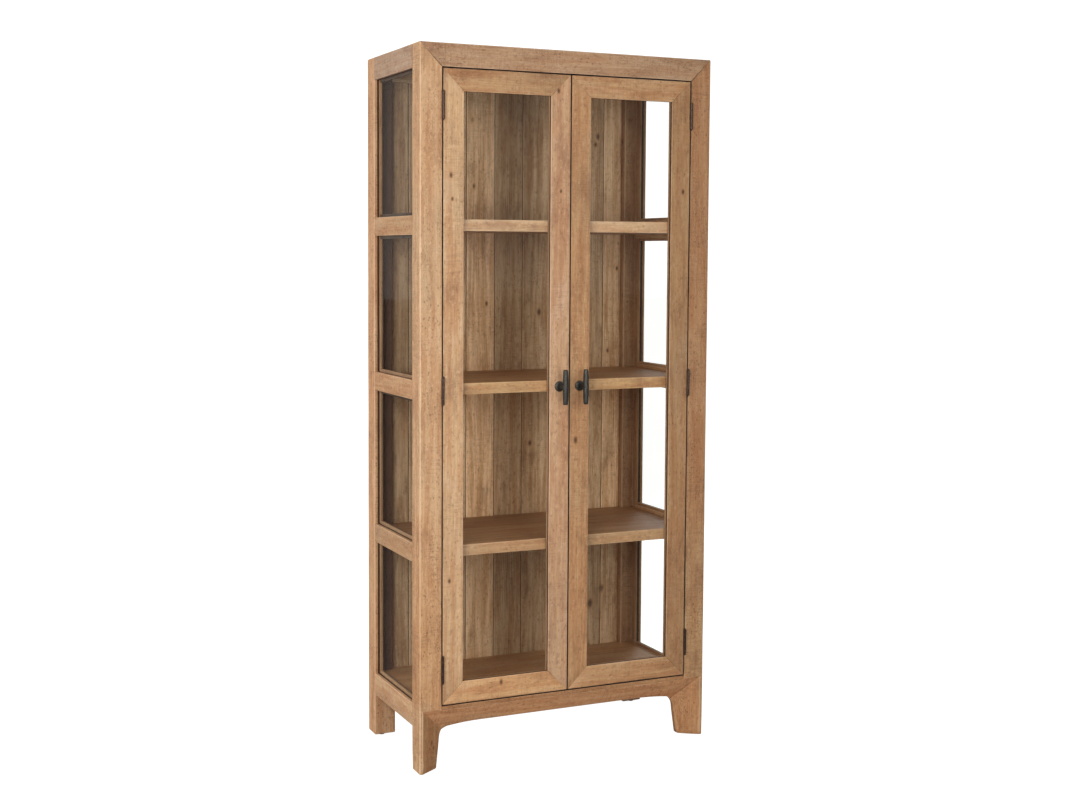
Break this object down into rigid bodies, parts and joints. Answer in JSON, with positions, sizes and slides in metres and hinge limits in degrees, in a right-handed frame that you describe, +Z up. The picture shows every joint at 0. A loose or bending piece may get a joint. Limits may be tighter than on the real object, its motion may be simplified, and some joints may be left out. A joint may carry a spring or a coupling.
{
  "type": "glazed pantry cabinet",
  "caption": "Tall rustic pine pantry cabinet with framed glass doors and sides, planked back, inner shelves, iron T-bar handles and chamfered legs joined by an arched apron.",
  "frame": {"origin": "centre of the footprint on the floor, with the handles counted in the depth", "axes": "+Z up, -Y out of the front with the doors, +X to the right of someone facing the front"},
  "size_m": [0.914, 0.4945, 2.032],
  "materials": {
    "pine_frame": "waxed and distressed reclaimed pine",
    "pine_door": "waxed and distressed reclaimed pine",
    "pine_bead": "waxed pine",
    "pine_shelf": "dark waxed pine",
    "pine_back": "waxed pine boards",
    "glass": "clear",
    "black_iron": "dark satin, lightly worn",
    "hinge_bronze": "dark bronze, satin",
    "screw_steel": "satin",
    "catch_plastic": "matt",
    "glide_felt": "matt"
  },
  "bodies": {
    "carcass": {"front_left_post": "pine_frame", "front_right_post": "pine_frame", "rear_left_post": "pine_frame", "rear_right_post": "pine_frame", "leg_knee_blocks": "pine_frame", "front_top_rail": "pine_frame", "front_bottom_lip": "pine_frame", "front_apron": "pine_frame", "rear_top_rail": "pine_back", "rear_bottom_rail": "pine_back", "top_board": "pine_frame", "bottom_board": "pine_shelf", "upper_shelf": "pine_shelf", "middle_shelf": "pine_shelf", "lower_shelf": "pine_shelf", "left_side_top_rail": "pine_frame", "left_side_upper_rail": "pine_frame", "left_side_middle_rail": "pine_frame", "left_side_lower_rail": "pine_frame", "left_side_bottom_rail": "pine_frame", "right_side_top_rail": "pine_frame", "right_side_upper_rail": "pine_frame", "right_side_middle_rail": "pine_frame", "right_side_lower_rail": "pine_frame", "right_side_bottom_rail": "pine_frame", "left_side_glass": "glass", "right_side_glass": "glass", "left_side_beads": "pine_bead", "right_side_beads": "pine_bead", "back_planks": "pine_back", "shelf_cleats": "pine_back", "foot_glides": "glide_felt", "hinge_frame_leaves": "hinge_bronze", "hinge_pins": "hinge_bronze", "hinge_frame_screws": "screw_steel", "door_catches": "catch_plastic"},
    "left_door": {"left_door_hinge_stile": "pine_door", "left_door_meeting_stile": "pine_door", "left_door_top_rail": "pine_door", "left_door_bottom_rail": "pine_door", "left_door_glass": "glass", "left_door_beads": "pine_bead", "left_hinge_leaves": "hinge_bronze", "left_hinge_screws": "screw_steel", "left_handle_plate": "black_iron", "left_handle_bar": "black_iron", "left_handle_screw": "screw_steel", "left_strike_plate": "screw_steel"},
    "right_door": {"right_door_hinge_stile": "pine_door", "right_door_meeting_stile": "pine_door", "right_door_top_rail": "pine_door", "right_door_bottom_rail": "pine_door", "right_door_glass": "glass", "right_door_beads": "pine_bead", "right_hinge_leaves": "hinge_bronze", "right_hinge_screws": "screw_steel", "right_handle_plate": "black_iron", "right_handle_bar": "black_iron", "right_handle_screw": "screw_steel", "right_strike_plate": "screw_steel"}
  },
  "joints": [
    {"name": "left_door_hinge", "type": "hinge", "parent": "carcass", "child": "left_door", "pos_m": [-0.3905, -0.20225, 1.0805], "axis": [0, 0, -1], "range_deg": [0, 170]},
    {"name": "right_door_hinge", "type": "hinge", "parent": "carcass", "child": "right_door", "pos_m": [0.3905, -0.20225, 1.0805], "axis": [0, 0, 1], "range_deg": [0, 170]}
  ]
}
